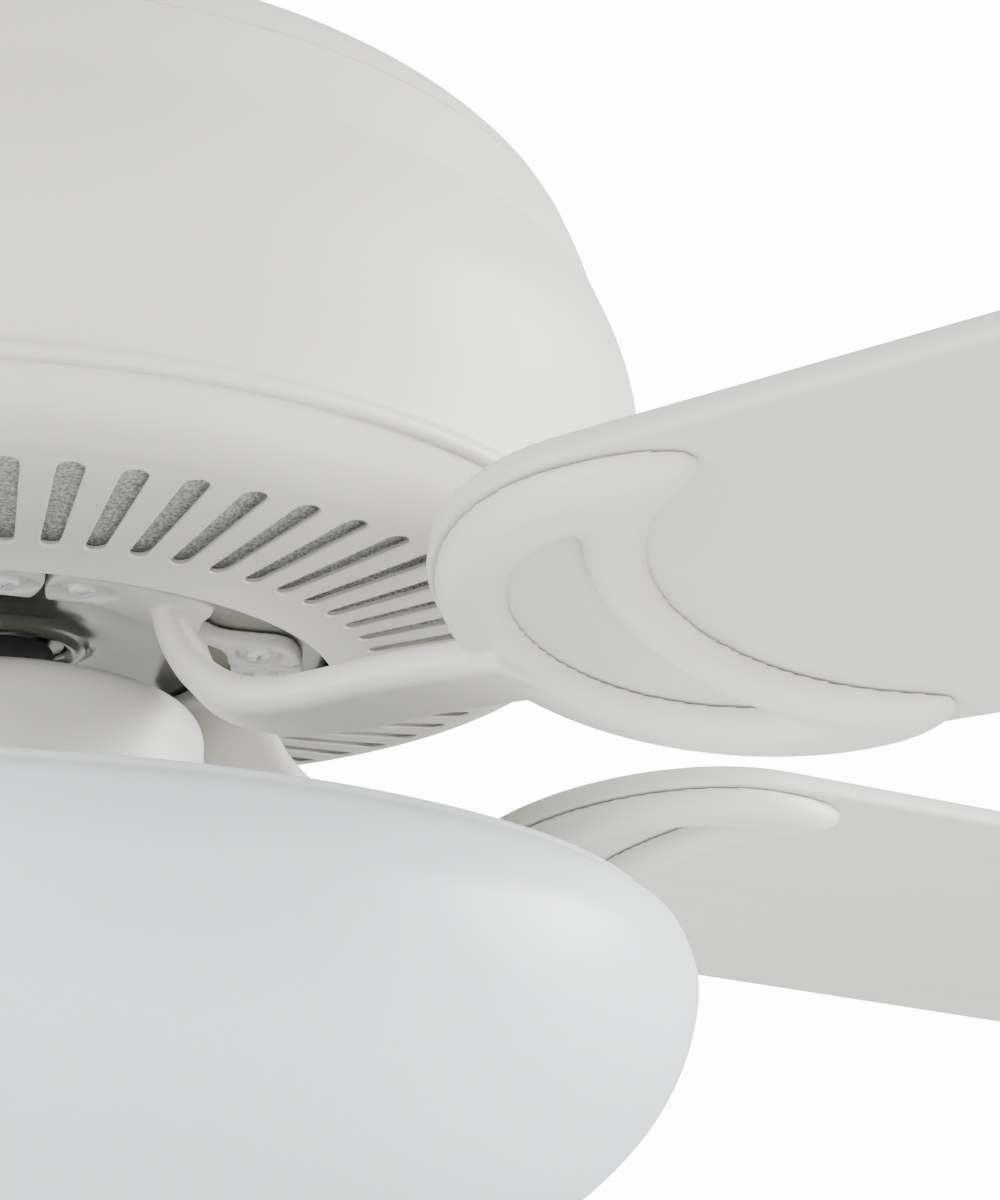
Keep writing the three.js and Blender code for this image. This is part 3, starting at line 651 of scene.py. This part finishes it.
def iron_mesh():
    foot = prism(polar_outline(FOOT_IN, FOOT_OUT, FOOT_DEG, FOOT_CORNER), FOOT_Z, FOOT_TOP)
    arm = swept(flow(ARM_PATH, 8), round_rectangle(ARM_WIDTH / 2, ARM_THICK / 2, ARM_EDGE), arm_skew)
    arm_obj = scratch(mesh_of("arm", *arm))
    cut(arm_obj, [prism([(40, -30), (90, -30), (90, 30), (40, 30)], FOOT_TOP - 0.2, 20)])
    foot_obj = scratch(mesh_of("foot", *foot))
    recesses = [oval(r * math.cos(a), r * math.sin(a), RECESS_ACROSS, RECESS_ALONG, a)
                for r, a in screw_spots()]
    cut(foot_obj, [prism(recess, -9, FOOT_Z + RECESS_DEPTH) for recess in recesses])
    verts, faces = crescent()
    head = mesh_of("head", shift(verts, PITCH), faces)
    bm = bmesh.new()
    for mesh in (arm_obj.data, foot_obj.data, head):
        bm.from_mesh(mesh)
    whole = bpy.data.meshes.new("blade_iron")
    bm.to_mesh(whole)
    bm.free()
    obj = scratch(whole)
    modified(obj, "REMESH", mode="VOXEL", voxel_size=CAST_VOXEL * MM, use_smooth_shade=True)
    modified(obj, "SMOOTH", factor=0.5, iterations=CAST_SMOOTH)
    modified(obj, "DECIMATE", ratio=CAST_KEEP)
    mesh = obj.data
    mesh.name = "blade_iron"
    for extra in (obj, arm_obj, foot_obj):
        bpy.data.objects.remove(extra)
    mesh.shade_smooth()
    return mesh


def blade_mesh():
    """A board with a round root, widening to soft tip corners, its edges eased."""
    corner_x, corner_y = TIP - TIP_CORNER, TIP_HALF - TIP_CORNER
    outline = [*arc(ROOT_X, 0, ROOT_R, 90, 270, 48), *arc(corner_x, -corner_y, TIP_CORNER, -90, 0, 14),
               *arc(corner_x, corner_y, TIP_CORNER, 0, 90, 14)]
    p = np.array(outline)
    side = np.roll(p, -1, axis=0) - np.roll(p, 1, axis=0)
    side /= np.linalg.norm(side, axis=1)[:, None]
    inward = np.column_stack([-side[:, 1], side[:, 0]])
    eased = [(1.5, 0), (0.9, 0.04), (0.35, 0.4), (0, 1.2)]
    rings = eased + [(inset, BLADE_THICK - z) for inset, z in reversed(eased)]
    n = len(outline)
    verts = [(*q, z) for inset, z in rings for q in p + inward * inset]
    faces = [[k * n + i, k * n + (i + 1) % n, (k + 1) * n + (i + 1) % n, (k + 1) * n + i]
             for k in range(len(rings) - 1) for i in range(n)]
    faces += [list(range(n))[::-1], [(len(rings) - 1) * n + i for i in range(n)]]
    return mesh_of("blade", shift(verts, PITCH), faces, 50)


def screw_mesh(name, radius, height, cross, shank=4.0):
    """A washer-faced pan head about Z, head down, with a cross recess."""
    profile = [(0, -height), (radius * 0.45, -height * 0.97), (radius * 0.62, -height * 0.78),
               (radius * 0.68, -height * 0.4), (radius * 0.95, -height * 0.32), (radius, -height * 0.16),
               (radius * 0.97, 0), (radius * 0.45, 0), (radius * 0.45, shank), (0, shank)]
    obj = scratch(mesh_of(name, *revolve(flow(profile[:7], 3) + profile[7:], 40, closed=False)))
    bars = [prism([(-a, -b), (a, -b), (a, b), (-a, b)], -height - 1, -height * 0.45)
            for a, b in ((cross, cross * 0.2), (cross * 0.2, cross))]
    cut(obj, bars[:1])
    cut(obj, bars[1:])
    mesh = obj.data
    bpy.data.objects.remove(obj)
    mesh.set_sharp_from_angle(angle=math.radians(35))
    return mesh


def irons_and_blades():
    iron, blade = iron_mesh(), blade_mesh()
    screw = screw_mesh("iron_screw", 4.9, 2.7, 2.6)
    top_screw = screw_mesh("blade_screw", 4.4, 2.4, 2.0, 1.0)
    for i in range(BLADES):
        turn = blade_turn(i)
        place(f"blade_iron_skin_{i + 1}", iron, "white_paint", ROTOR, (f"blade_iron_{i + 1}",), turn=turn)
        place(f"blade_skin_{i + 1}", blade, "blade_white", ROTOR, (f"blade_{i + 1}",), turn=turn)
        for k, (r, a) in enumerate(screw_spots()):
            spot = Matrix.Translation((r * math.cos(a) * MM, r * math.sin(a) * MM, SCREW_SEAT_Z * MM))
            number = 2 * i + k + 1
            place(f"iron_screw_skin_{number}", screw, "white_screw", ROTOR, (f"iron_screw_{number}",),
                  turn=turn, matrix=spot @ Matrix.Rotation(0.4 + number, 4, "Z"))
        for k, (x, y) in enumerate(BLADE_SCREWS):
            on_top = Matrix.Translation((x * MM, y * MM, BLADE_THICK * MM))
            upside = on_top @ Matrix.Rotation(math.pi, 4, "X")
            metres = Matrix.Translation((0, 0, BLADE_PLANE_Z * MM)) @ Matrix.Rotation(
                math.radians(-PITCH_DEG), 4, "X")
            place(f"blade_screw_{i + 1}_{k + 1}", top_screw, "white_screw", ROTOR, turn=turn,
                  matrix=metres @ upside @ Matrix.Rotation(0.7 * k + i, 4, "Z"))


# ---- Motor, switch housing, light kit and suspension ------------------------------------------------


def motor():
    under = flow([(14.4, 9), (14.4, 5.6), (15.4, 3.9), (17.2, 3.2), (19.2, 4), (20.6, 5.6), (24, 6.4),
                  (34, 5.4), (52, 3.8), (60, FOOT_TOP + 0.3), (72, FOOT_TOP + 0.3), (76.4, FOOT_TOP + 0.6),
                  (78, 5.4), (78.4, 9), (82, 11.4), (90, 13.4), (92, 16), (92, 26.8)], 5)
    turned("rotor_bottom_skin", sheet_profile(under, 2.2), "motor_aluminium", ROTOR, ("rotor_bottom",))
    over = flow([(92, 27.4), (92, 46), (89, 49.6), (75, 56.4), (60, 61.8), (34, 64.2), (21, 65.2),
                 (19.6, 69.6), (14.8, 70)], 5)
    turned("rotor_top_skin", sheet_profile(over, 3), "motor_aluminium", ROTOR, ("rotor_top",))
    sleeve = [(9.3, -9.6), (12.4, -9.6), (12.9, -8.9), (12.9, -3), (11.6, -1.6), (11.6, 3.4), (10.8, 4.6),
              (9.3, 4.6)]
    place("wire_sleeve", mesh_of("wire_sleeve", *revolve(sleeve, 96)), "black_plastic")


def switch_cup():
    outer = [(48.4, -52), (48.4, -30), *arc(39.4, -19, 9, 0, 90, 12), (24, -10), (9.7, -10)]
    obj = scratch(mesh_of("switch_cup", *revolve(sheet_profile(outer), 192), 30))
    cut(obj, [prism([(-2.6, 40), (2.6, 40), (2.6, 60), (-2.6, 60)], -43, -28)])
    mesh = obj.data
    bpy.data.objects.remove(obj)
    mesh.set_sharp_from_angle(angle=math.radians(35))
    place("switch_cup", mesh, "white_paint", HANGING, ("switch_housing",))


LAMPS = 3
LAMP_TILT_DEG = 20
LAMP_X, LAMP_Z = 29, -72
BOWL_GLASS = 4


def light_kit():
    pan = [(24.4, -55), (24.4, -78), (23.4, -78.4), (5.2, -78.4), (5.2, -80), (24, -80), (26, -78),
           (26, -57), (27, -56), (49.2, -56), (50, -55.2), (50, -52.8), (49.5, -52.3), (46.6, -52.3),
           (46.4, -44), (44.8, -44), (44.6, -53.2), (32, -53.6)]
    turned("light_fitter_skin", pan, "white_paint", HANGING, ("light_fitter",))
    tilt = Matrix.Rotation(math.radians(90 + LAMP_TILT_DEG), 4, "Y")
    holder = [(0, -8), (5, -8), (5, -1), (13, -0.6), (15.4, 1), (16, 3), (16, 9), (15.2, 10), (15.2, 12),
              (16, 13), (16, 33), (15, 34), (13.9, 33.4), (13.5, 32), (13.5, 5), (0, 5)]
    socket = mesh_of("lamp_socket", *revolve(holder, 64, closed=False))
    threads = [(12.4 + 0.5 * (k % 2), 11 + 2 * k) for k in range(10)]
    bulb_line = [(0, 6), (6, 6), (8, 7.5), (12.4, 9.5), *threads, (13, 34),
                 *flow([(13, 36), (14.6, 43), (19, 51), (21.6, 58), (21.8, 66), (18.6, 75),
                        (12, 81.4), (6, 83.6), (0, 84)], 5)]
    bulb = mesh_of("bulb", *revolve(bulb_line, 64, closed=False))
    for i in range(LAMPS):
        turn = math.radians(-90 + 360 * i / LAMPS)
        spot = Matrix.Translation((LAMP_X * MM, 0, LAMP_Z * MM)) @ tilt
        place(f"lamp_socket_skin_{i + 1}", socket, "porcelain", HANGING, (f"lamp_socket_{i + 1}",),
              turn=turn, matrix=spot)
        place(f"bulb_skin_{i + 1}", bulb, "bulb_glass", HANGING, (f"bulb_{i + 1}",), turn=turn, matrix=spot)
    screw = screw_mesh("fitter_screw", 3.8, 2.4, 1.8, 6)
    for i in range(3):
        out = Matrix.Translation((48.8 * MM, 0, -48 * MM)) @ Matrix.Rotation(-math.pi / 2, 4, "Y")
        place(f"fitter_screw_skin_{i + 1}", screw, "white_screw", HANGING, (f"fitter_screw_{i + 1}",),
              turn=math.radians(-30 + 120 * i), matrix=out)

    rim = arc(152.6, -63.4, 2.3, -4, 176, 10)
    bowl = [(7, -157), (28, -156.4), (50, -154.2), (75, -150), (96, -145), (115, -138.2), (132, -129),
            (145, -118.6), (155, -107), (161.6, -94), (164.4, -81)]
    wall = flow([*bowl, (163, -72.6), (160, -66.6), (155.2, -63.2)], 6)
    inner = offset(flow([*bowl, (162.6, -73), (158, -67.4)], 6), BOWL_GLASS)[::-1]
    turned("glass_bowl_skin", [*wall, *rim[1:-1], *inner], "opal_glass", HANGING, ("glass_bowl",), sides=256)
    washer = [(5.1, -160), (13, -160), (14, -159.4), (14, -158), (13.2, -157.3), (5.1, -157.3)]
    turned("bowl_washer_skin", washer, "rubber", HANGING, ("bowl_washer",), sides=96)
    swell = flow([(0.5, -182), (5, -181), (8.6, -178.6), (11.3, -174), (11.4, -170), (9.6, -166.6),
                  (10.4, -164.6), (13.2, -163.6), (13.6, -162)], 4)
    knob = [(0, -182), *swell, (13.2, -160.6), (5.1, -160.4), (5.1, -171), (0, -171)]
    turned("finial_skin", knob, "white_paint", HANGING, ("finial",), sides=128)


def suspension():
    dish = flow([(23.4, -69.6), (30, -69.4), (38, -68), (47, -63.6), (56, -56.6), (63.4, -47), (69, -35),
                 (72.6, -22), (74.4, -10), (75, -1.5)], 5)
    turned("canopy_skin", sheet_profile(dish, 1.5), "white_paint", "ceiling_bracket", ("canopy",), z=0)
    cone = flow([(45, 141.6), (44.9, 146), (43.4, 155.4), (40.6, 164.6), (36.6, 173), (31.8, 181),
                 (26, 188.4), (20.4, 194.4), (14.7, 198.4)], 5)
    turned("yoke_cover_skin", sheet_profile(cone, 1.4), "white_paint", HANGING, ("yoke_cover",))
    rod_bottom = VENT_Z + 160.3
    tube = [(10, rod_bottom), (12.6, rod_bottom), (13, rod_bottom + 0.6), (13, -28), (12.4, -27), (10, -27)]
    turned("downrod_skin", tube, "white_paint", HANGING, ("downrod",), z=0, sides=96)
    ball = [(13.3, -58), *arc(0, -36, 29.9, -47.2, 19.5, 24), (13.3, -26)]
    turned("hanger_ball_skin", ball, "black_plastic", HANGING, ("hanger_ball",), z=0, sides=128)
    screw = screw_mesh("canopy_screw", 4.2, 2.4, 2.0, 9)
    for i, side in enumerate((1, -1)):
        out = (Matrix.Rotation(side * math.pi / 2, 4, "Z") @ Matrix.Translation((75.2 * MM, 0, 0))
               @ Matrix.Rotation(-math.pi / 2, 4, "Y"))
        place(f"canopy_screw_skin_{i + 1}", screw, "white_screw", "ceiling_bracket",
              (f"canopy_screw_{i + 1}",), z=-10, matrix=out)


# ---- Camera, light and floor --------------------------------------------------------------------


CAMERA_YAW_DEG, CAMERA_PITCH_DEG = 11.18, 18.52
CAMERA_PLACE = (0, -613.8, VENT_Z - 185.0)
CAMERA_LENS, CAMERA_SENSOR = 78.8, 36
# Name, place in metres, size in metres and power in watts.
LAMP_LIST = [("right_lamp", (2.5, -0.2, 0.1), 1.8, 160),
             ("left_lamp", (-2.5, -0.9, -0.25), 1.5, 105),
             ("front_lamp", (-0.2, -2.6, -1.0), 1.6, 24),
             ("low_lamp", (0.5, -1.2, -2.4), 2.4, 36)]
FLOOR_HALF, FLOOR_Z = 40.0, -2.7


def camera():
    """From in front and below the blades, looking up past the bowl's rim."""
    yaw, pitch = math.radians(CAMERA_YAW_DEG), math.radians(CAMERA_PITCH_DEG)
    ahead = Vector((math.sin(yaw) * math.cos(pitch), math.cos(yaw) * math.cos(pitch), math.sin(pitch)))
    right = Vector((math.cos(yaw), -math.sin(yaw), 0))
    up = right.cross(ahead)
    data = bpy.data.cameras.new("camera")
    data.lens = CAMERA_LENS
    data.sensor_width = CAMERA_SENSOR
    data.clip_start = 0.01
    obj = bpy.data.objects.new("camera", data)
    bpy.context.scene.collection.objects.link(obj)
    turn = Matrix((right, up, -ahead)).transposed().to_4x4()
    obj.matrix_world = Matrix.Translation(Vector(CAMERA_PLACE) * MM) @ turn
    bpy.context.scene.camera = obj


def area_light(name, place_m, aim_m, size, power):
    data = bpy.data.lights.new(name, "AREA")
    data.shape = "DISK"
    data.size = size
    data.energy = power
    obj = bpy.data.objects.new(name, data)
    bpy.context.scene.collection.objects.link(obj)
    obj.location = place_m
    obj.rotation_euler = (Vector(aim_m) - Vector(place_m)).to_track_quat("-Z", "Y").to_euler()


def studio():
    """A white backdrop, an even sky a little brighter on one side, four soft lamps and a floor."""
    world = bpy.data.worlds.new("studio")
    world.use_nodes = True
    nodes, links = world.node_tree.nodes, world.node_tree.links
    backdrop = nodes["Background"]
    backdrop.inputs["Color"].default_value = (1, 1, 1, 1)
    backdrop.inputs["Strength"].default_value = BACKDROP
    coords = nodes.new("ShaderNodeTexCoord")
    side = nodes.new("ShaderNodeVectorMath")
    side.operation = "DOT_PRODUCT"
    side.inputs[1].default_value = SKY_SIDE
    level = nodes.new("ShaderNodeMapRange")
    level.inputs["From Min"].default_value = -1
    level.inputs["To Min"].default_value, level.inputs["To Max"].default_value = SKY_LEVELS
    sky = nodes.new("ShaderNodeBackground")
    sky.inputs["Color"].default_value = (1, 0.995, 0.98, 1)
    seen, mix = nodes.new("ShaderNodeLightPath"), nodes.new("ShaderNodeMixShader")
    links.new(coords.outputs["Generated"], side.inputs[0])
    links.new(side.outputs["Value"], level.inputs["Value"])
    links.new(level.outputs["Result"], sky.inputs["Strength"])
    links.new(seen.outputs["Is Camera Ray"], mix.inputs["Fac"])
    links.new(sky.outputs["Background"], mix.inputs[1])
    links.new(backdrop.outputs["Background"], mix.inputs[2])
    links.new(mix.outputs["Shader"], nodes["World Output"].inputs["Surface"])
    bpy.context.scene.world = world
    middle = (0, 0, VENT_Z * MM)
    for name, place_m, size, power in LAMP_LIST:
        area_light(name, place_m, middle, size, power)
    mesh = bpy.data.meshes.new("floor")
    sides = ((-1, -1), (1, -1), (1, 1), (-1, 1))
    corners = [(x * FLOOR_HALF, y * FLOOR_HALF, FLOOR_Z) for x, y in sides]
    mesh.from_pydata(corners, [], [(0, 1, 2, 3)])
    look = Look("floor", (0.8, 0.8, 0.79), 0.7)
    look.color(look.noise(1.5, 3), (0.78, 0.78, 0.77), (0.82, 0.82, 0.81))
    mesh.materials.append(look.material)
    floor = bpy.data.objects.new("floor", mesh)
    bpy.context.scene.collection.objects.link(floor)


# ---- The whole ------------------------------------------------------------------------------------

camera()
studio()
paint_cad_nodes()
lower_housing()
upper_housing()
vent_liner()
irons_and_blades()
motor()
switch_cup()
light_kit()
suspension()
